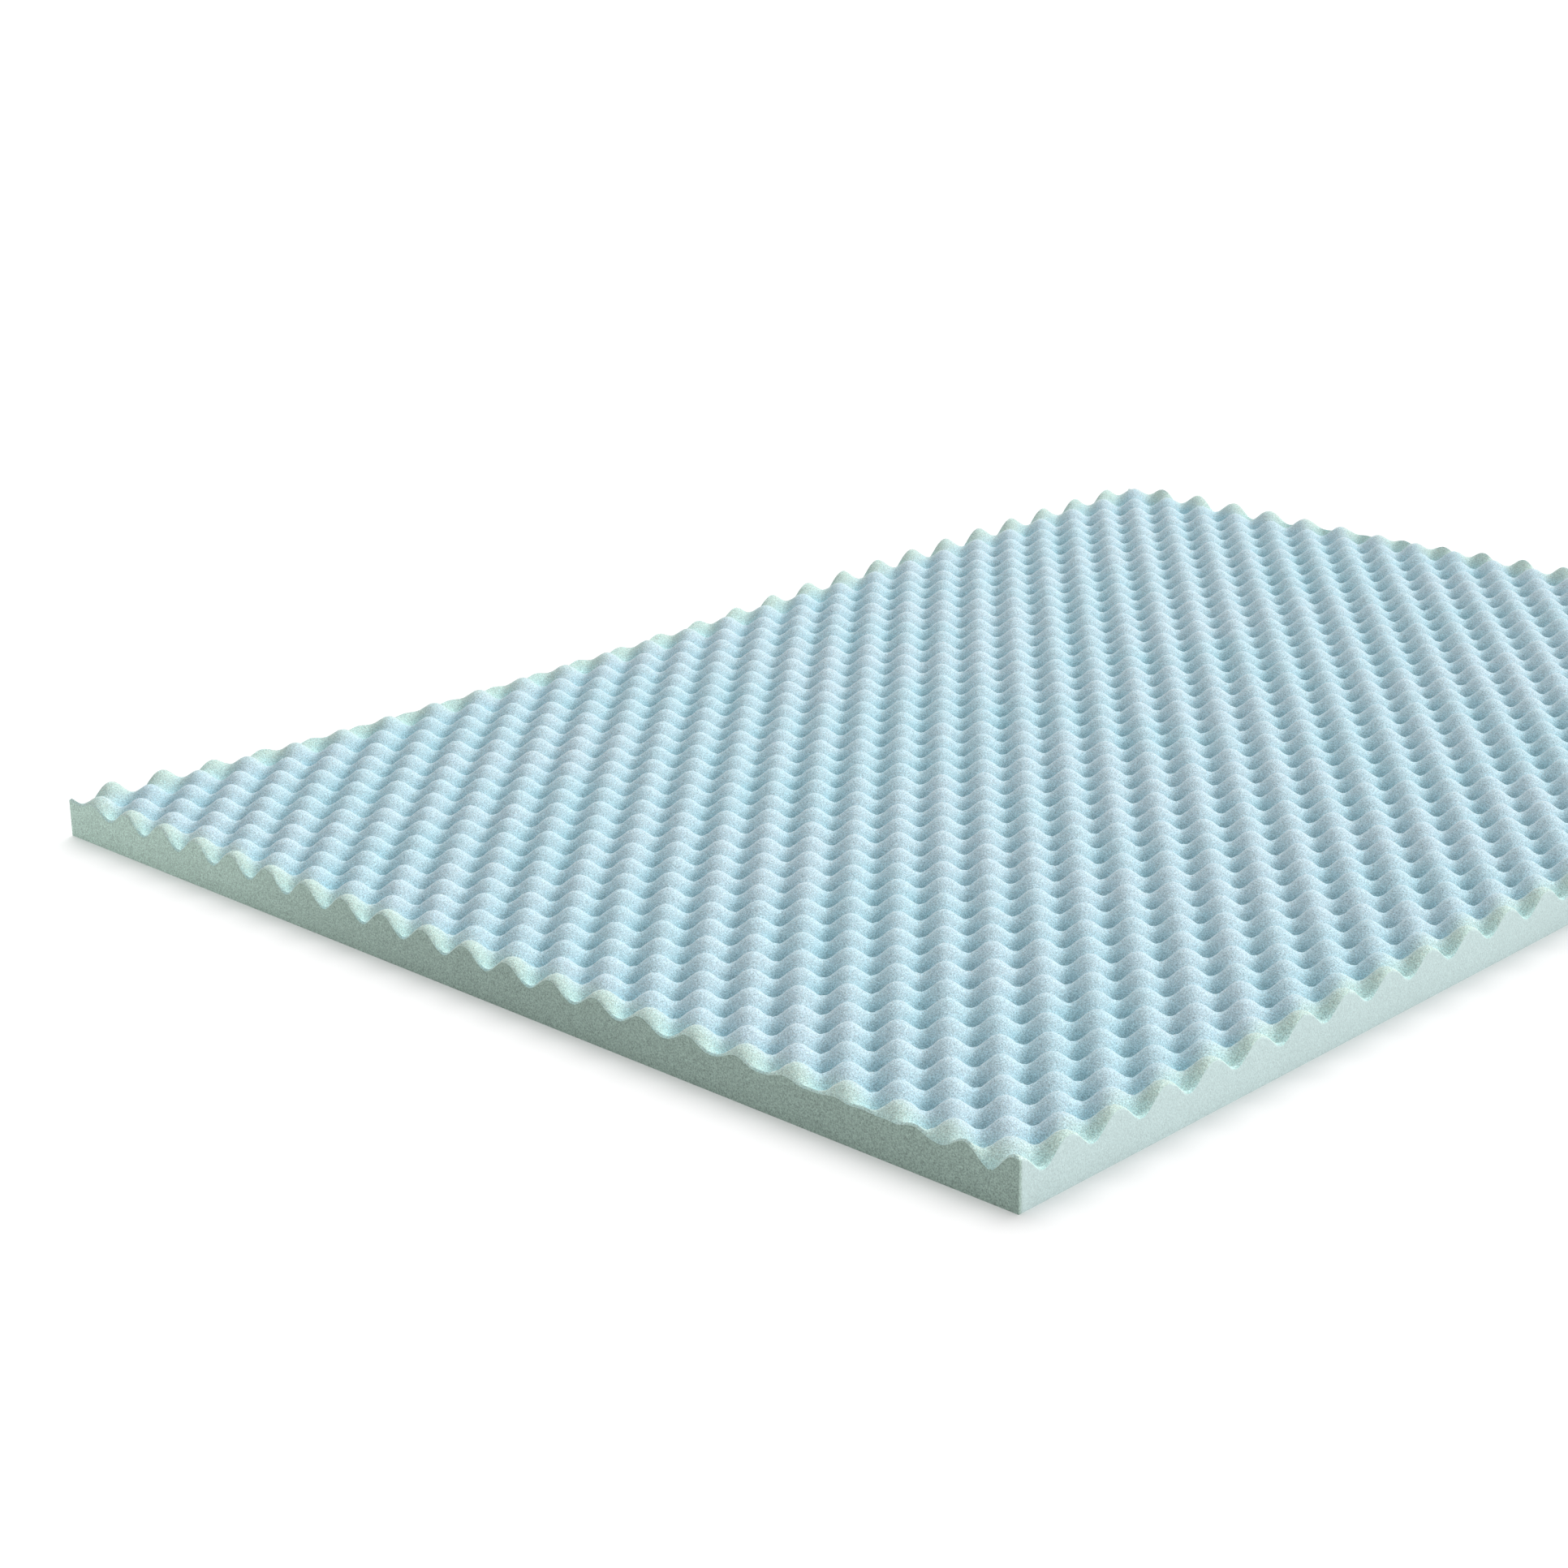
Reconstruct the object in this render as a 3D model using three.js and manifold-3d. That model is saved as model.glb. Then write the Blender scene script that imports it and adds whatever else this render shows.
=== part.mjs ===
// A full-size foam mattress topper, cut from one slab. The underside is flat, the four sides are cut
// square, and the top is convoluted: rounded bumps and rounded hollows take turns like the squares of
// a chessboard. Millimetres, +Z up. The origin is the middle of the underside, with X across the bed
// and Y along it.

import * as THREE from "three";
import { mergeVertices } from "three/addons/utils/BufferGeometryUtils.js";
import Module from "manifold-3d";

// The slab
const WIDTH = 1371.6;
const LENGTH = 1905;
const BUMP_HEIGHT = 51;
const HOLLOW_HEIGHT = 26;

// Crest to crest, across the bed and along it
const PITCH_ACROSS = 61.6;
const PITCH_ALONG = 71.7;

// Rows of crests and rows of hollows are numbered together, so a pitch holds two rows. Row nought lies
// near the middle, and soft foam lets the rows wander. Each line is one part of the wandering: the
// powers of a place (s, t) that runs from -1 to 1 across the bed and along it, and the rows added.
// The last two lines count only near the cut sides. Past the sides the wandering stays as it is there.
const WANDER = [
  { s: 0, t: 0, across: -0.99, along: 0.41 },
  { s: 1, t: 0, across: -0.02, along: -0.19 },
  { s: 0, t: 1, across: -0.1, along: 0.14 },
  { s: 2, t: 0, across: 0.45, along: -0.18 },
  { s: 1, t: 1, across: -0.27, along: 0.51 },
  { s: 0, t: 2, across: 0.19, along: -0.46 },
  { s: 3, t: 0, across: 0.24, along: 0 },
  { s: 2, t: 1, across: 0.19, along: 0.01 },
  { s: 1, t: 2, across: -0.54, along: 0.49 },
  { s: 0, t: 3, across: -0.17, along: 0.36 },
  { s: 10, t: 0, across: 0.28, along: -0.35 },
  { s: 0, t: 10, across: 0, along: -0.16 },
];

// The left long side isn't quite straight: how far it draws in, at places along the bed
const LEFT_SIDE = [
  { along: -LENGTH / 2, inward: 0 },
  { along: -700, inward: 30 },
  { along: -400, inward: 40 },
  { along: 0, inward: 34 },
  { along: 450, inward: 12 },
  { along: LENGTH / 2, inward: 0 },
];
const LEFT_SIDE_STEPS = 20;

// The convoluted sheet is made larger than the slab, and then trimmed
const SPARE_ROWS = 2;
const SPARE_DEPTH = 20;

const foam = new THREE.MeshStandardMaterial({ color: 0xb9d6de, roughness: 0.95, metalness: 0 });

// Which rows a place lies on, across the bed and along it
function rowsAt(x, y) {
  const s = THREE.MathUtils.clamp(x / (WIDTH / 2), -1, 1);
  const t = THREE.MathUtils.clamp(y / (LENGTH / 2), -1, 1);
  const rows = new THREE.Vector2((2 * x) / PITCH_ACROSS, (2 * y) / PITCH_ALONG);
  for (const part of WANDER) {
    const size = s ** part.s * t ** part.t;
    rows.x += part.across * size;
    rows.y += part.along * size;
  }
  return rows;
}

// The place where two rows cross, found by stepping towards it until the rows agree
function crossing(across, along) {
  const place = new THREE.Vector2((across * PITCH_ACROSS) / 2, (along * PITCH_ALONG) / 2);
  for (let step = 0; step < 12; step += 1) {
    const rows = rowsAt(place.x, place.y);
    place.x += ((across - rows.x) * PITCH_ACROSS) / 2;
    place.y += ((along - rows.y) * PITCH_ALONG) / 2;
  }
  return place;
}

// The height of the top: bumps where both row numbers are even or both odd, and hollows between them
function topHeight(across, along) {
  const middle = (BUMP_HEIGHT + HOLLOW_HEIGHT) / 2;
  const swing = (BUMP_HEIGHT - HOLLOW_HEIGHT) / 2;
  return middle + swing * Math.cos(Math.PI * across) * Math.cos(Math.PI * along);
}

// A closed solid with the convoluted top, larger than the slab all round and below
function convolutedSheet() {
  const across = Math.ceil(WIDTH / PITCH_ACROSS) + SPARE_ROWS;
  const along = Math.ceil(LENGTH / PITCH_ALONG) + SPARE_ROWS;
  const columns = 2 * across + 1;
  const rows = 2 * along + 1;
  const points = [];
  const faces = [];

  function addPoint(u, v, z) {
    const place = crossing(u, v);
    points.push(place.x, place.y, z);
    return points.length / 3 - 1;
  }

  const top = [];
  const base = [];
  for (let row = 0; row < rows; row += 1) {
    for (let column = 0; column < columns; column += 1) {
      const u = column - across;
      const v = row - along;
      top.push(addPoint(u, v, topHeight(u, v)));
      base.push(addPoint(u, v, -SPARE_DEPTH));
    }
  }

  // Four slopes meet at the saddle in the middle of each cell
  for (let row = 0; row < rows - 1; row += 1) {
    for (let column = 0; column < columns - 1; column += 1) {
      const u = column - across + 0.5;
      const v = row - along + 0.5;
      const saddle = addPoint(u, v, topHeight(u, v));
      const under = addPoint(u, v, -SPARE_DEPTH);
      const first = row * columns + column;
      const ring = [first, first + 1, first + 1 + columns, first + columns];
      for (let side = 0; side < 4; side += 1) {
        const here = ring[side];
        const next = ring[(side + 1) % 4];
        faces.push(top[here], top[next], saddle);
        faces.push(base[next], base[here], under);
      }
    }
  }

  // The outer walls join the rim of the top to the rim of the base
  const rim = [];
  for (let column = 0; column < columns - 1; column += 1) rim.push(column);
  for (let row = 0; row < rows - 1; row += 1) rim.push(row * columns + columns - 1);
  for (let column = columns - 1; column > 0; column -= 1) rim.push((rows - 1) * columns + column);
  for (let row = rows - 1; row > 0; row -= 1) rim.push(row * columns);
  rim.forEach((here, index) => {
    const next = rim[(index + 1) % rim.length];
    faces.push(base[here], base[next], top[next]);
    faces.push(base[here], top[next], top[here]);
  });

  const geometry = new THREE.BufferGeometry();
  geometry.setAttribute("position", new THREE.Float32BufferAttribute(points, 3));
  geometry.setIndex(faces);
  return geometry;
}

// The block that the knife leaves: the outline of the slab, carried up past the bumps
function cutBlock() {
  const left = LEFT_SIDE.map((place) => new THREE.Vector2(-WIDTH / 2 + place.inward, place.along));
  const side = new THREE.SplineCurve(left).getPoints(LEFT_SIDE_STEPS).reverse();
  const outline = new THREE.Shape([
    new THREE.Vector2(WIDTH / 2, -LENGTH / 2),
    new THREE.Vector2(WIDTH / 2, LENGTH / 2),
    ...side,
  ]);
  return new THREE.ExtrudeGeometry(outline, { depth: BUMP_HEIGHT + SPARE_DEPTH, bevelEnabled: false });
}

const wasm = await Module();
wasm.setup();

function toSolid(geometry) {
  const bare = geometry.clone();
  bare.deleteAttribute("normal");
  bare.deleteAttribute("uv");
  const merged = mergeVertices(bare);
  return new wasm.Manifold(
    new wasm.Mesh({
      numProp: 3,
      vertProperties: new Float32Array(merged.attributes.position.array),
      triVerts: new Uint32Array(merged.index.array),
    }),
  );
}

function toGeometry(solid) {
  const mesh = solid.getMesh();
  const geometry = new THREE.BufferGeometry();
  geometry.setAttribute("position", new THREE.BufferAttribute(mesh.vertProperties, 3));
  geometry.setIndex(new THREE.BufferAttribute(mesh.triVerts, 1));
  geometry.computeVertexNormals();
  return geometry;
}

function foamSlab() {
  const slab = toSolid(convolutedSheet()).intersect(toSolid(cutBlock()));
  const mesh = new THREE.Mesh(toGeometry(slab), foam);
  mesh.name = "foam_slab";
  return mesh;
}

const topper = new THREE.Group();
topper.add(foamSlab());

export default topper;
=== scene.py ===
"""A full-size convoluted foam mattress topper on a pale studio floor.

Laid out as an add-on and run as a script. Everything is in metres, +Z up, with the origin in the middle
of the underside.
"""

import math

import bpy
import numpy as np
from mathutils import Matrix, Vector, noise


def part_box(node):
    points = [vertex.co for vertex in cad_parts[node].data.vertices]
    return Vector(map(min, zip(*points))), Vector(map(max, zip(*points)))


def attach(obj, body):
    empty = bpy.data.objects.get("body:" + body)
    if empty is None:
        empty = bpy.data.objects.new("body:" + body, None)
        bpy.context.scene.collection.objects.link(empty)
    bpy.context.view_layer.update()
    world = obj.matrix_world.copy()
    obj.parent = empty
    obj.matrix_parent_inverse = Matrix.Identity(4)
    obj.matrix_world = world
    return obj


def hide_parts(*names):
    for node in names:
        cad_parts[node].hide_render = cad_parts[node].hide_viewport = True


bl_info = {
    "name": "Convoluted Foam Topper",
    "version": (1, 0, 0),
    "blender": (4, 5, 0),
    "location": "View3D > Sidebar > Foam Topper",
    "description": "Builds a convoluted foam mattress topper and a small studio around it",
    "category": "Object",
}

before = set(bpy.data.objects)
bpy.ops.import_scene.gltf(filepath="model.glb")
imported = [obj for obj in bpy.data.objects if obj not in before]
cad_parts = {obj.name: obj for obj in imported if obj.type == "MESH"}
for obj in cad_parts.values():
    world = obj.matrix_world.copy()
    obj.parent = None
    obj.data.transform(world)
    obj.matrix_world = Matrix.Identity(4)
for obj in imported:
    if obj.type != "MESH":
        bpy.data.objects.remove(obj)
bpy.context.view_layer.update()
CAD_LOW, CAD_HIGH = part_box("foam_slab")

WIDTH = CAD_HIGH.x - CAD_LOW.x
LENGTH = CAD_HIGH.y - CAD_LOW.y
BUMP_TOP = CAD_HIGH.z

# Rows of crests and rows of hollows are numbered together, and the numbers wander a little over the slab.
# Each line is one part of the wandering, for a place (s, t) that runs from -1 to 1 across the bed and
# along it: the power of s, the power of t, and the rows added across and along. The last two lines
# count only near the cut sides.
WANDER = (
    (0, 0, -0.99, 0.41),
    (1, 0, -0.02, -0.19),
    (0, 1, -0.10, 0.14),
    (2, 0, 0.45, -0.18),
    (1, 1, -0.27, 0.51),
    (0, 2, 0.19, -0.46),
    (3, 0, 0.24, 0.0),
    (2, 1, 0.19, 0.01),
    (1, 2, -0.54, 0.49),
    (0, 3, -0.17, 0.36),
    (10, 0, 0.28, -0.35),
    (0, 10, 0.0, -0.16),
)

# The left long side draws in a little: place along the bed, and how far in
LEFT_SIDE = (
    (-LENGTH / 2, 0.0),
    (-0.700, 0.030),
    (-0.400, 0.040),
    (0.0, 0.034),
    (0.450, 0.012),
    (LENGTH / 2, 0.0),
)

# The soft top strays in broad and in fine swells, so many to the metre. The fine ones count half, and the
# whole top is sunk by the last value, as a part of the unevenness.
BROAD_SWELLS = 22.0
FINE_SWELLS = 70.0
FINE_PART = 0.5
SUNK_PART = 0.75

# How far in from the cut sides the foam turns green
GREEN_REACH = 0.06

# A face is part of the moulded top if its normal has this much of +Z and it stands above this height
MOULDED_NORMAL = 0.3
MOULDED_ABOVE = 0.01

# Edges sharper than this stay crisp
CRISP_ANGLE = math.radians(50)

# The photograph is a square of this many pixels
PHOTO_SIDE = 1932

# A plain floor that reaches past every view, and lamps that stand off this far
FLOOR_SIDE = 120
LAMP_DISTANCE = 6


class FoamSizes(bpy.types.PropertyGroup):
    """Sizes of the foam slab."""

    hollow_height: bpy.props.FloatProperty(
        name="Hollow height",
        description="Foam left under the deepest hollows",
        default=0.026,
        unit="LENGTH",
    )
    pitch_across: bpy.props.FloatProperty(
        name="Pitch across",
        description="Crest to crest across the bed",
        default=0.0616,
        unit="LENGTH",
    )
    pitch_along: bpy.props.FloatProperty(
        name="Pitch along",
        description="Crest to crest along the bed",
        default=0.0717,
        unit="LENGTH",
    )
    roundness: bpy.props.FloatProperty(
        name="Roundness",
        description="How much fuller the bumps are than a plain wave, from 0 to 0.1",
        default=0.06,
        min=0.0,
        max=0.1,
    )
    rim_reach: bpy.props.FloatProperty(
        name="Rim reach",
        description="How far in from the cut sides the bumps are flatter",
        default=0.045,
        unit="LENGTH",
    )
    rim_swing: bpy.props.FloatProperty(
        name="Rim swing",
        description="Swing of the bumps at the cut sides, as a part of their full swing",
        default=0.9,
    )
    rim_lift: bpy.props.FloatProperty(
        name="Rim lift",
        description="How far the middle height rises at the cut sides, as a part of the bump height",
        default=0.15,
    )
    unevenness: bpy.props.FloatProperty(
        name="Unevenness",
        description="How far the soft top strays from its moulded form",
        default=0.0007,
        unit="LENGTH",
    )
    rim_round: bpy.props.FloatProperty(
        name="Rim rounding",
        description="How far the cut edges are worn round",
        default=0.002,
        unit="LENGTH",
    )
    columns: bpy.props.IntProperty(
        name="Columns",
        description="Faces across the top",
        default=258,
        min=20,
    )
    rows: bpy.props.IntProperty(
        name="Rows",
        description="Faces along the top",
        default=358,
        min=20,
    )


class FoamColours(bpy.types.PropertyGroup):
    """Colours of the foam."""

    # Crest and hollow are lit and shaded copies of the foam's blue: painted light on the crests, painted
    # shade in the hollows.
    crest: bpy.props.FloatVectorProperty(
        name="Crest",
        description="Pale blue of the bumps",
        subtype="COLOR",
        default=(0.434, 0.552, 0.602),
        size=3,
        min=0.0,
        max=1.0,
    )
    hollow: bpy.props.FloatVectorProperty(
        name="Hollow",
        description="Deeper blue of the hollows",
        subtype="COLOR",
        default=(0.318, 0.50, 0.568),
        size=3,
        min=0.0,
        max=1.0,
    )
    # Rim crest and rim hollow are lit and shaded copies of the rim's green: painted light on the outermost
    # crests, painted shade in the outermost hollows.
    lit_rim_crest: bpy.props.FloatVectorProperty(
        name="Rim crest",
        description="Pale green of the outermost bumps",
        subtype="COLOR",
        default=(0.43, 0.55, 0.51),
        size=3,
        min=0.0,
        max=1.0,
    )
    shaded_rim_hollow: bpy.props.FloatVectorProperty(
        name="Rim hollow",
        description="Mint of the outermost hollows",
        subtype="COLOR",
        default=(0.395, 0.575, 0.56),
        size=3,
        min=0.0,
        max=1.0,
    )
    side: bpy.props.FloatVectorProperty(
        name="Long sides",
        description="Pale mint of the long cut sides",
        subtype="COLOR",
        default=(0.45, 0.56, 0.555),
        size=3,
        min=0.0,
        max=1.0,
    )
    end: bpy.props.FloatVectorProperty(
        name="Short sides",
        description="Grey green of the short cut sides",
        subtype="COLOR",
        default=(0.277, 0.37, 0.328),
        size=3,
        min=0.0,
        max=1.0,
    )


class StudioSettings(bpy.types.PropertyGroup):
    """Light and camera of the studio."""

    sky: bpy.props.FloatProperty(
        name="Sky",
        description="Strength of the even white surroundings",
        default=0.76,
        min=0.0,
    )
    key: bpy.props.FloatProperty(
        name="Key light",
        description="Strength of the low light from the right, on the foam",
        default=3.1,
        min=0.0,
    )
    back: bpy.props.FloatProperty(
        name="Back light",
        description="Strength of the broad light from behind, on the floor",
        default=2.0,
        min=0.0,
    )
    azimuth: bpy.props.FloatProperty(
        name="View azimuth",
        description="Direction that the camera looks in, from the long axis of the bed",
        default=math.radians(44.16),
        subtype="ANGLE",
    )
    elevation: bpy.props.FloatProperty(
        name="View elevation",
        description="How far the camera looks down",
        default=math.radians(19.173),
        subtype="ANGLE",
    )
    roll: bpy.props.FloatProperty(
        name="View roll",
        description="How far the camera leans to its right",
        default=math.radians(0.847),
        subtype="ANGLE",
    )
    focal_pixels: bpy.props.FloatProperty(
        name="Focal length",
        description="Focal length in pixels of the photograph",
        default=3851.0,
    )
    place: bpy.props.FloatVectorProperty(
        name="Camera place",
        description="Where the camera stands",
        default=(2.170, -2.752, 1.189),
        size=3,
        subtype="TRANSLATION",
        unit="LENGTH",
    )


class Wire:
    """A shader socket that takes part in plain arithmetic."""

    def __init__(self, finish, socket):
        self.finish = finish
        self.socket = socket

    def math(self, operation, first, second):
        return self.finish.node("ShaderNodeMath", {"operation": operation}, {0: first, 1: second})

    def __add__(self, other):
        return self.math("ADD", self, other)

    __radd__ = __add__

    def __sub__(self, other):
        return self.math("SUBTRACT", self, other)

    def __rsub__(self, other):
        return self.math("SUBTRACT", other, self)

    def __mul__(self, other):
        return self.math("MULTIPLY", self, other)

    __rmul__ = __mul__


class Finish:
    """A material whose nodes are added one call at a time."""

    def __init__(self, name):
        self.material = bpy.data.materials.new(name)
        self.material.use_nodes = True
        self.tree = self.material.node_tree
        self.tree.nodes.clear()
        self.output = self.tree.nodes.new("ShaderNodeOutputMaterial")
        self.shader = self.tree.nodes.new("ShaderNodeBsdfPrincipled")
        self.tree.links.new(self.shader.outputs[0], self.output.inputs["Surface"])

    def feed(self, socket, value):
        if isinstance(value, Wire):
            self.tree.links.new(value.socket, socket)
        else:
            socket.default_value = value

    def node(self, kind, settings=None, inputs=None, output=0):
        """Adds a node: its settings first, then the values or wires of its sockets."""
        made = self.tree.nodes.new(kind)
        for name, value in (settings or {}).items():
            setattr(made, name, value)
        for name, value in (inputs or {}).items():
            self.feed(made.inputs[name], value)
        return Wire(self, made.outputs[output])

    def place(self):
        return self.node("ShaderNodeTexCoord", output="Object")

    def painted(self, name):
        """A value kept on the mesh."""
        return self.node("ShaderNodeAttribute", {"attribute_name": name}, output="Fac")

    def noise(self, size, detail, roughness=0.5):
        """Smooth noise from 0 to 1, with patches of about this size in metres."""
        inputs = {"Vector": self.place(), "Scale": 1.0 / size, "Detail": detail, "Roughness": roughness}
        return self.node("ShaderNodeTexNoise", inputs=inputs)

    def cells(self, size):
        """Distance to the middle of the nearest open cell, in cell sizes."""
        return self.node("ShaderNodeTexVoronoi", inputs={"Vector": self.place(), "Scale": 1.0 / size})

    def between(self, value, low, high, to_low=0.0, to_high=1.0):
        """Value eased from one range to another."""
        settings = {"interpolation_type": "SMOOTHSTEP"}
        inputs = {"Value": value, "From Min": low, "From Max": high, "To Min": to_low, "To Max": to_high}
        return self.node("ShaderNodeMapRange", settings, inputs)

    def blend(self, factor, first, second, how="MIX"):
        """A colour between two colours, or one colour worked on by another."""
        settings = {"data_type": "RGBA", "blend_type": how}
        inputs = {0: factor, 6: first, 7: second}
        return self.node("ShaderNodeMix", settings, inputs, output=2)

    def shade(self, colour, amount):
        """A colour made lighter or darker by an amount around 1."""
        settings = {"operation": "SCALE"}
        return self.node("ShaderNodeVectorMath", settings, {0: colour, "Scale": amount})

    def bump(self, height, distance):
        """A normal that follows a relief this deep in metres."""
        inputs = {"Height": height, "Distance": distance, "Strength": 1.0}
        return self.node("ShaderNodeBump", inputs=inputs, output="Normal")

    def finish_with(self, **sockets):
        """Feeds the shader's own sockets, named with _ for a space."""
        for name, value in sockets.items():
            self.feed(self.shader.inputs[name.replace("_", " ")], value)
        return self.material


def opaque(colour):
    return (*colour, 1.0)


def convoluted_foam(colours):
    """The moulded top: pale blue, green along the rim, open cells all over, with painted light on the
    crests and painted shade that deepens and darkens the hollows.
    """
    finish = Finish("convoluted foam")
    height = finish.painted("height")
    rim = finish.painted("rim")
    patches = finish.noise(size=0.16, detail=3.0)
    smudges = finish.noise(size=0.030, detail=3.0)
    grain = finish.noise(size=0.0014, detail=1.0, roughness=0.7)
    cells = finish.cells(size=0.0015)

    # Painted light and shade by height: crests take the lit colour, hollows the shaded colour.
    painted_shade_by_height = finish.between(height + (smudges - 0.5) * 0.5, 0.0, 0.8)
    blue = finish.blend(painted_shade_by_height, opaque(colours.hollow), opaque(colours.crest))
    less_red = opaque((0.95, 1.0, 1.0))
    more_red = opaque((1.01, 1.0, 1.0))
    hue = finish.blend(finish.between(patches, 0.35, 0.65), less_red, more_red)
    blue = finish.blend(1.0, blue, hue, how="MULTIPLY")
    greening = finish.between(rim + (smudges - 0.5) * 0.35, 0.35, 0.95)
    # The rim's green takes the same painted light on its crests and painted shade in its hollows.
    green = finish.blend(painted_shade_by_height, opaque(colours.shaded_rim_hollow), opaque(colours.lit_rim_crest))
    colour = finish.blend(greening, blue, green)
    # Painted shade: the hollows are darkened, less so near the cut sides.
    painted_hollow_shade = finish.between(height + rim * 0.6, 0.0, 0.5, 0.73, 1.0)
    speckle = 0.35 + grain * 1.42 - finish.between(cells, 0.45, 0.90, 0.0, 0.12)
    colour = finish.shade(colour, speckle * painted_hollow_shade)

    relief = grain * 0.6 + cells * 0.4
    return finish.finish_with(
        Base_Color=colour,
        Roughness=0.96,
        Subsurface_Weight=0.25,
        Subsurface_Radius=(0.5, 0.8, 1.0),
        Subsurface_Scale=0.004,
        Normal=finish.bump(relief, 0.0005),
        Specular_IOR_Level=0.15,
        Sheen_Weight=0.28,
        Sheen_Roughness=0.3,
    )


def cut_foam(colours):
    """The cut sides and the underside: coarser cells, mint on the long sides, grey green on the ends."""
    finish = Finish("cut foam")
    across, along = (
        finish.node("ShaderNodeSeparateXYZ", inputs={0: finish.place()}, output=axis) for axis in "XY"
    )
    distance = finish.node("ShaderNodeMath", {"operation": "ABSOLUTE"}, {0: along})
    end = finish.between(distance, LENGTH / 2 - 0.006, LENGTH / 2 - 0.001)
    patches = finish.noise(size=0.09, detail=3.0)
    grain = finish.noise(size=0.0016, detail=1.0, roughness=0.7)
    cells = finish.cells(size=0.0017)

    # Painted light: the short sides grow paler toward the left.
    painted_light_to_left = finish.between(across, -WIDTH / 2 - 0.05, 0.05, 0.65, 0.0) * end
    colour = finish.blend(end, opaque(colours.side), opaque(colours.end))
    coarse = 0.4 + end * 0.6
    speckle = (grain - 0.5) * 1.35 - finish.between(cells, 0.45, 0.90, 0.0, 0.15)
    colour = finish.shade(colour, (1.0 + speckle * coarse + (patches - 0.5) * 0.08) * (1 + painted_light_to_left))

    relief = (grain * 0.6 + cells * 0.4) * coarse
    return finish.finish_with(
        Base_Color=colour,
        Roughness=0.97,
        Normal=finish.bump(relief, 0.0007),
        Specular_IOR_Level=0.12,
        Sheen_Weight=0.15,
        Sheen_Roughness=0.5,
    )


def studio_paper():
    """Plain white floor."""
    finish = Finish("studio paper")
    white = opaque((0.94, 0.94, 0.94))
    return finish.finish_with(Base_Color=white, Roughness=1.0, Specular_IOR_Level=0.0)


def row_numbers(x, y, sizes):
    """Which rows a place lies on, across the bed and along it."""
    s = x / (WIDTH / 2)
    t = y / (LENGTH / 2)
    across = 2 * x / sizes.pitch_across
    along = 2 * y / sizes.pitch_along
    for power_s, power_t, more_across, more_along in WANDER:
        part = s**power_s * t**power_t
        across = across + more_across * part
        along = along + more_along * part
    return across, along


def top_height(x, y, sizes):
    """Height of the moulded top, from 0 in the hollows to 1 on the crests."""
    across, along = row_numbers(x, y, sizes)
    wave = np.cos(np.pi * across) * np.cos(np.pi * along)
    shoulders = np.cos(2 * np.pi * across) * np.cos(2 * np.pi * along)
    return (1 + wave + sizes.roundness * (1 - shoulders)) / 2


def stray(x, y):
    """How far the soft top strays at a place, as a part of the unevenness."""
    broad = noise.noise(Vector((x, y, 0)) * BROAD_SWELLS)
    fine = noise.noise(Vector((x, y, 7)) * FINE_SWELLS)
    return broad + FINE_PART * fine - SUNK_PART


def left_side(y):
    """How far the left side draws in at each place, on a smooth curve through the table's places."""
    places = np.array(LEFT_SIDE)
    count = len(places) - 1
    turns = np.linspace(0, count, 201)
    first = np.minimum(turns.astype(int), count - 1)
    part = (turns - first)[:, None]
    before = places[np.maximum(first - 1, 0)]
    start = places[first]
    end = places[first + 1]
    after = places[np.minimum(first + 2, count)]
    slope_in = (end - before) / 2
    slope_out = (after - start) / 2
    cubic = (2 * start - 2 * end + slope_in + slope_out) * part**3
    square = (3 * end - 3 * start - 2 * slope_in - slope_out) * part**2
    curve = cubic + square + slope_in * part + start
    return np.interp(y, curve[:, 0], curve[:, 1])


def read_points(mesh):
    flat = np.empty(len(mesh.vertices) * 3)
    mesh.vertices.foreach_get("co", flat)
    return flat.reshape(-1, 3)


def write_points(mesh, points):
    mesh.vertices.foreach_set("co", points.ravel())
    mesh.update()


def paint(mesh, name, values):
    """Keeps a value on every point of a mesh."""
    mesh.attributes.new(name, "FLOAT", "POINT").data.foreach_set("value", values)


def select_open_rim():
    """In edit mode, selects only the edges that have a face on one side."""
    bpy.ops.mesh.select_mode(type="EDGE")
    bpy.ops.mesh.select_all(action="DESELECT")
    bpy.ops.mesh.select_non_manifold(
        extend=False,
        use_wire=False,
        use_multi_face=False,
        use_non_contiguous=False,
        use_verts=False,
    )


def selected_points(mesh):
    chosen = np.empty(len(mesh.vertices), dtype=bool)
    mesh.vertices.foreach_get("select", chosen)
    return chosen


def extrude_rim(piece, move):
    """Extrudes the open rim of a piece and hands the new points to a function that places them."""
    bpy.ops.object.mode_set(mode="EDIT")
    select_open_rim()
    bpy.ops.mesh.extrude_region_move(TRANSFORM_OT_translate={"value": (0, 0, 0)})
    bpy.ops.object.mode_set(mode="OBJECT")
    points = read_points(piece.data)
    chosen = selected_points(piece.data)
    points[chosen] = move(points[chosen])
    write_points(piece.data, points)


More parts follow.
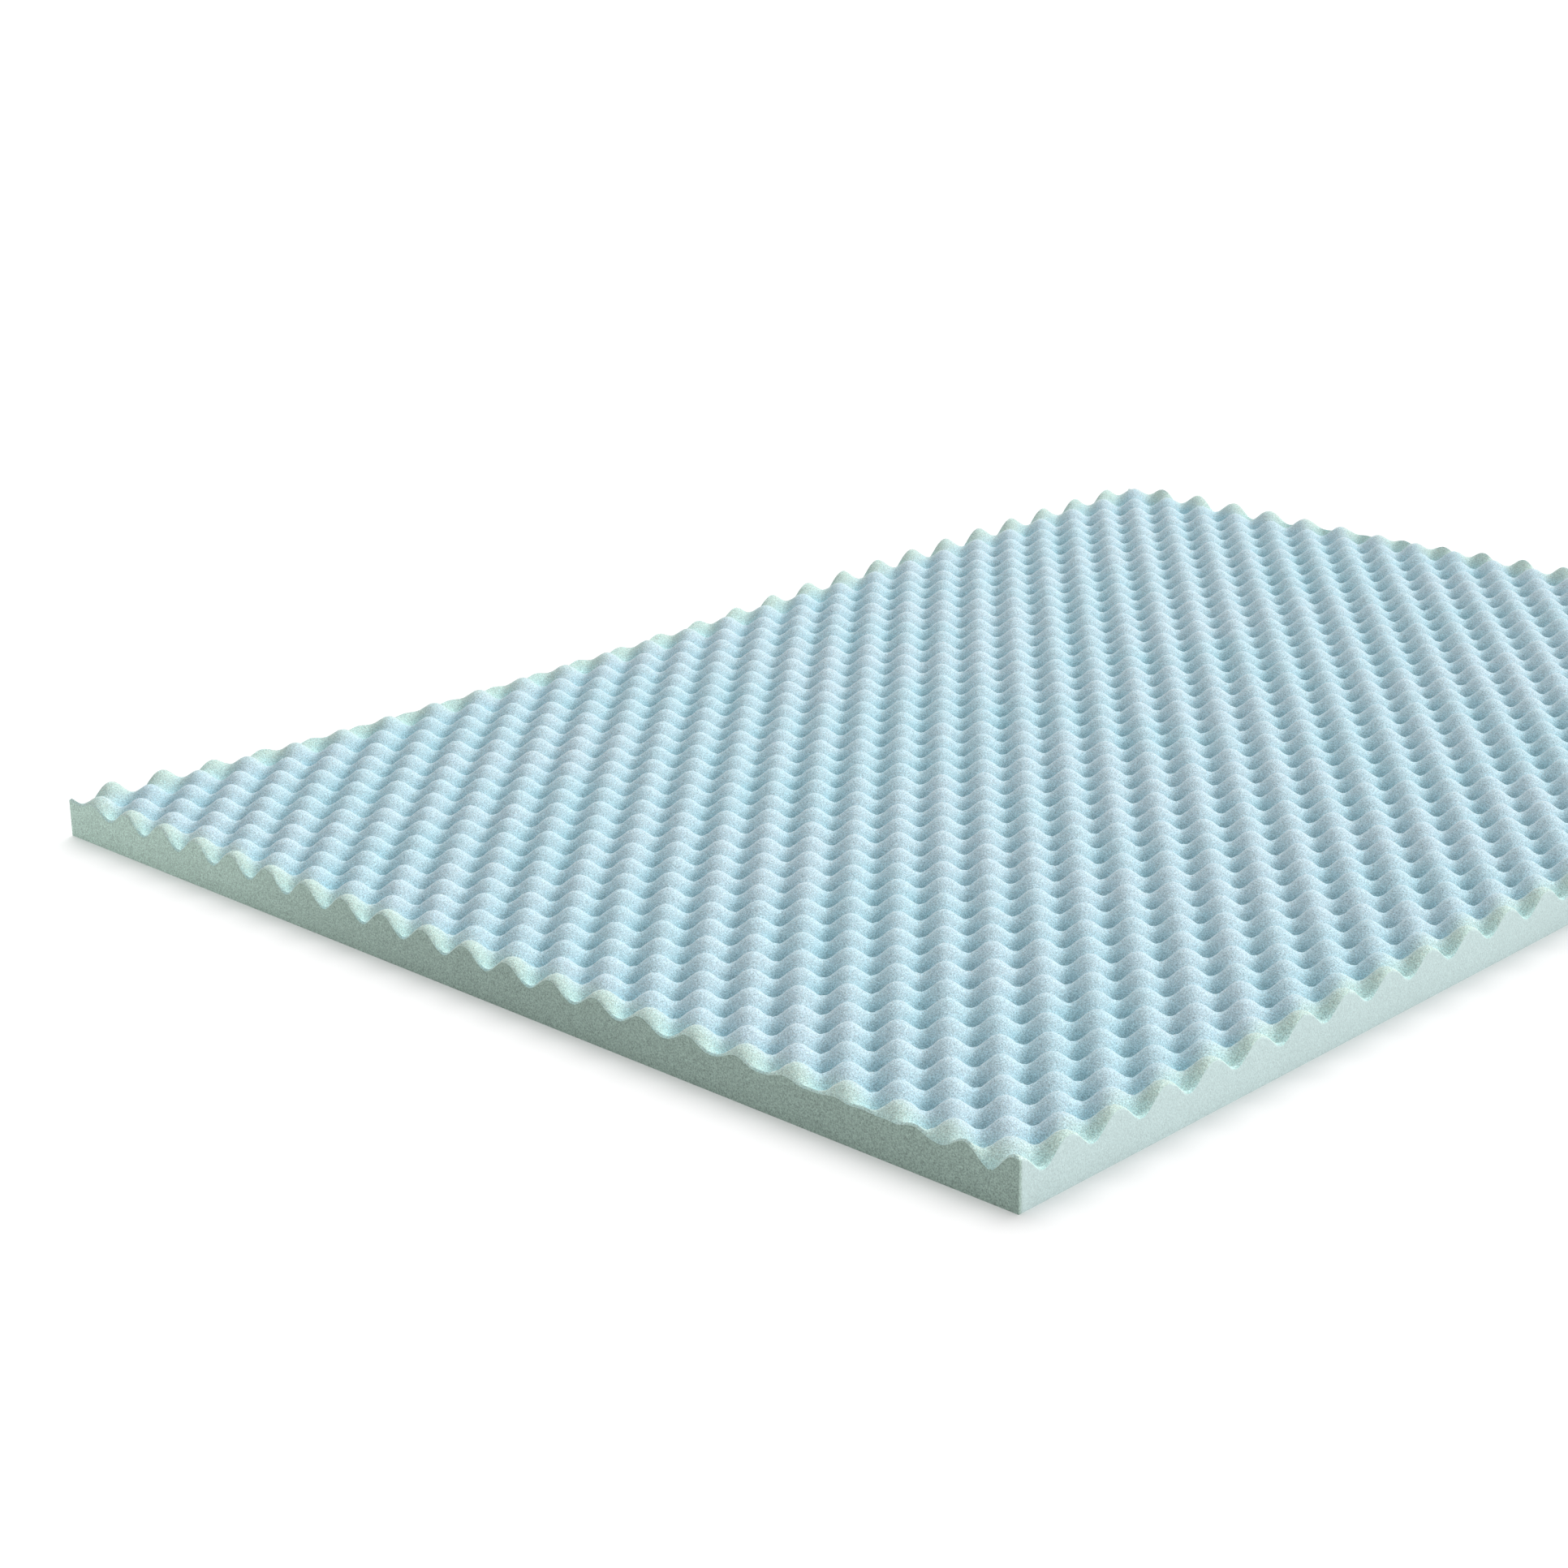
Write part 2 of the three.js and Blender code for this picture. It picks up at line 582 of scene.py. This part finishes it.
class TOPPER_OT_foam_slab(bpy.types.Operator):
    """Add the convoluted foam slab"""

    bl_idname = "topper.foam_slab"
    bl_label = "Foam Slab"

    def execute(self, context):
        sizes = context.scene.foam_sizes
        colours = context.scene.foam_colours
        piece = self.moulded_top(sizes)
        self.cut_sides(piece, sizes)
        self.dress(piece, colours)
        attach(piece, "root")
        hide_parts("foam_slab")
        return {"FINISHED"}

    def moulded_top(self, sizes):
        """A fine grid, drawn to the slab's outline and raised to the moulded form."""
        bpy.ops.object.select_all(action="DESELECT")
        bpy.ops.mesh.primitive_grid_add(x_subdivisions=sizes.columns, y_subdivisions=sizes.rows, size=1)
        piece = bpy.context.object
        piece.name = "foam_topper"
        points = read_points(piece.data)
        inset = sizes.rim_round
        y = points[:, 1] * (LENGTH - 2 * inset)
        left = -WIDTH / 2 + inset + left_side(y)
        x = left + (points[:, 0] + 0.5) * (WIDTH / 2 - inset - left)
        reach = np.minimum.reduce((WIDTH / 2 - x, x - left + inset, LENGTH / 2 - np.abs(y)))
        nearness = np.clip(1 - reach / sizes.rim_reach, 0, 1)
        nearness = nearness * nearness * (3 - 2 * nearness)
        full = top_height(x, y, sizes)
        height = full + nearness * (sizes.rim_lift - (1 - sizes.rim_swing) * (full - 0.5))
        low = sizes.hollow_height
        strays = np.array([stray(a, b) for a, b in zip(x, y)])
        z = low + (BUMP_TOP - low) * height + sizes.unevenness * strays
        write_points(piece.data, np.column_stack((x, y, z)))

        paint(piece.data, "height", full)
        paint(piece.data, "rim", np.clip(1 - reach / GREEN_REACH, 0, 1))
        return piece

    def cut_sides(self, piece, sizes):
        """The rim turned over a little, carried down to the floor and closed underneath."""
        worn = sizes.rim_round
        # A point closer to a side than this belongs to it
        slack = worn * 1.5

        def outward(points):
            moved = points.copy()
            moved[:, 0] += np.where(points[:, 0] > WIDTH / 2 - slack, worn, 0)
            left = -WIDTH / 2 + left_side(points[:, 1])
            moved[:, 0] -= np.where(points[:, 0] < left + slack, worn, 0)
            at_end = np.abs(points[:, 1]) > LENGTH / 2 - slack
            moved[:, 1] += np.where(at_end, np.sign(points[:, 1]) * worn, 0)
            moved[:, 2] -= worn
            return moved

        def below_rim(points):
            moved = points.copy()
            moved[:, 2] -= worn
            return moved

        def down_to(height):
            def move(points):
                moved = points.copy()
                moved[:, 2] = height
                return moved

            return move

        for move in (outward, below_rim, down_to(worn), down_to(0)):
            extrude_rim(piece, move)
        bpy.ops.object.mode_set(mode="EDIT")
        select_open_rim()
        bpy.ops.mesh.edge_face_add()
        bpy.ops.mesh.select_all(action="SELECT")
        bpy.ops.mesh.normals_make_consistent(inside=False)
        bpy.ops.object.mode_set(mode="OBJECT")

    def dress(self, piece, colours):
        """Materials by which way a face looks, and soft shading that stops at the cut edges."""
        mesh = piece.data
        mesh.materials.append(convoluted_foam(colours))
        mesh.materials.append(cut_foam(colours))
        for face in mesh.polygons:
            moulded = face.normal.z > MOULDED_NORMAL and face.center.z > MOULDED_ABOVE
            face.material_index = 0 if moulded else 1
        bpy.ops.object.shade_smooth_by_angle(angle=CRISP_ANGLE)


class TOPPER_OT_studio(bpy.types.Operator):
    """Add the floor, the lights and the camera"""

    bl_idname = "topper.studio"
    bl_label = "Studio"

    def execute(self, context):
        settings = context.scene.studio_settings
        self.floor()
        self.sky(context.scene, settings)
        topper = bpy.data.objects["foam_topper"]
        floor = bpy.data.objects["studio_floor"]
        self.lamp("key", settings.key, topper, bearing=18, height=36, spread=24)
        self.lamp("back", settings.back, floor, bearing=90, height=45, spread=70)
        self.camera(context.scene, settings)
        context.scene.view_settings.view_transform = "Standard"
        return {"FINISHED"}

    def floor(self):
        bpy.ops.object.select_all(action="DESELECT")
        bpy.ops.mesh.primitive_plane_add(size=FLOOR_SIDE)
        plane = bpy.context.object
        plane.name = "studio_floor"
        plane.data.materials.append(studio_paper())

    def sky(self, scene, settings):
        world = bpy.data.worlds.new("studio")
        world.use_nodes = True
        background = world.node_tree.nodes["Background"]
        background.inputs["Color"].default_value = (1, 1, 1, 1)
        background.inputs["Strength"].default_value = settings.sky
        scene.world = world

    def lamp(self, name, strength, receiver, bearing, height, spread):
        """Soft parallel light on one object, its angles in degrees, the bearing from the camera's right."""
        light = bpy.data.lights.new(name, "SUN")
        light.energy = strength
        light.angle = math.radians(spread)
        lamp = bpy.data.objects.new(name, light)
        turn = bpy.context.scene.studio_settings.azimuth + math.radians(bearing)
        rise = math.radians(height)
        flat = math.cos(rise)
        toward = Vector((math.cos(turn) * flat, math.sin(turn) * flat, math.sin(rise)))
        lamp.location = toward * LAMP_DISTANCE
        lamp.rotation_euler = toward.to_track_quat("Z", "Y").to_euler()
        bpy.context.scene.collection.objects.link(lamp)
        lit = bpy.data.collections.new(name + " light falls on")
        lit.objects.link(receiver)
        lamp.light_linking.receiver_collection = lit

    def camera(self, scene, settings):
        """The photograph's camera, with its lean to one side."""
        lens = bpy.data.cameras.new("camera")
        lens.sensor_width = 36.0
        lens.lens = settings.focal_pixels / PHOTO_SIDE * lens.sensor_width
        lens.clip_end = 500
        eye = bpy.data.objects.new("camera", lens)
        a, e = settings.azimuth, settings.elevation
        back = Vector((math.sin(a) * math.cos(e), -math.cos(a) * math.cos(e), math.sin(e)))
        right = Vector((0, 0, 1)).cross(back).normalized()
        up = back.cross(right)
        turn = Matrix.Rotation(-settings.roll, 3, back)
        axes = Matrix((turn @ right, turn @ up, back)).transposed()
        eye.matrix_world = Matrix.Translation(Vector(settings.place)) @ axes.to_4x4()
        scene.collection.objects.link(eye)
        scene.camera = eye


class TOPPER_PT_panel(bpy.types.Panel):
    """Lists the pieces and their sizes"""

    bl_idname = "TOPPER_PT_panel"
    bl_label = "Foam Topper"
    bl_space_type = "VIEW_3D"
    bl_region_type = "UI"
    bl_category = "Foam Topper"

    def draw(self, context):
        layout = self.layout
        for group in (context.scene.foam_sizes, context.scene.foam_colours, context.scene.studio_settings):
            box = layout.box()
            for name in group.bl_rna.properties.keys():
                if name not in {"rna_type", "name"}:
                    box.prop(group, name)
        layout.operator(TOPPER_OT_foam_slab.bl_idname)
        layout.operator(TOPPER_OT_studio.bl_idname)


CLASSES = (FoamSizes, FoamColours, StudioSettings, TOPPER_OT_foam_slab, TOPPER_OT_studio, TOPPER_PT_panel)


def register():
    for cls in CLASSES:
        bpy.utils.register_class(cls)
    bpy.types.Scene.foam_sizes = bpy.props.PointerProperty(type=FoamSizes)
    bpy.types.Scene.foam_colours = bpy.props.PointerProperty(type=FoamColours)
    bpy.types.Scene.studio_settings = bpy.props.PointerProperty(type=StudioSettings)


def unregister():
    del bpy.types.Scene.studio_settings
    del bpy.types.Scene.foam_colours
    del bpy.types.Scene.foam_sizes
    for cls in reversed(CLASSES):
        bpy.utils.unregister_class(cls)


def main():
    register()
    bpy.ops.topper.foam_slab()
    bpy.ops.topper.studio()


if __name__ == "__main__":
    main()
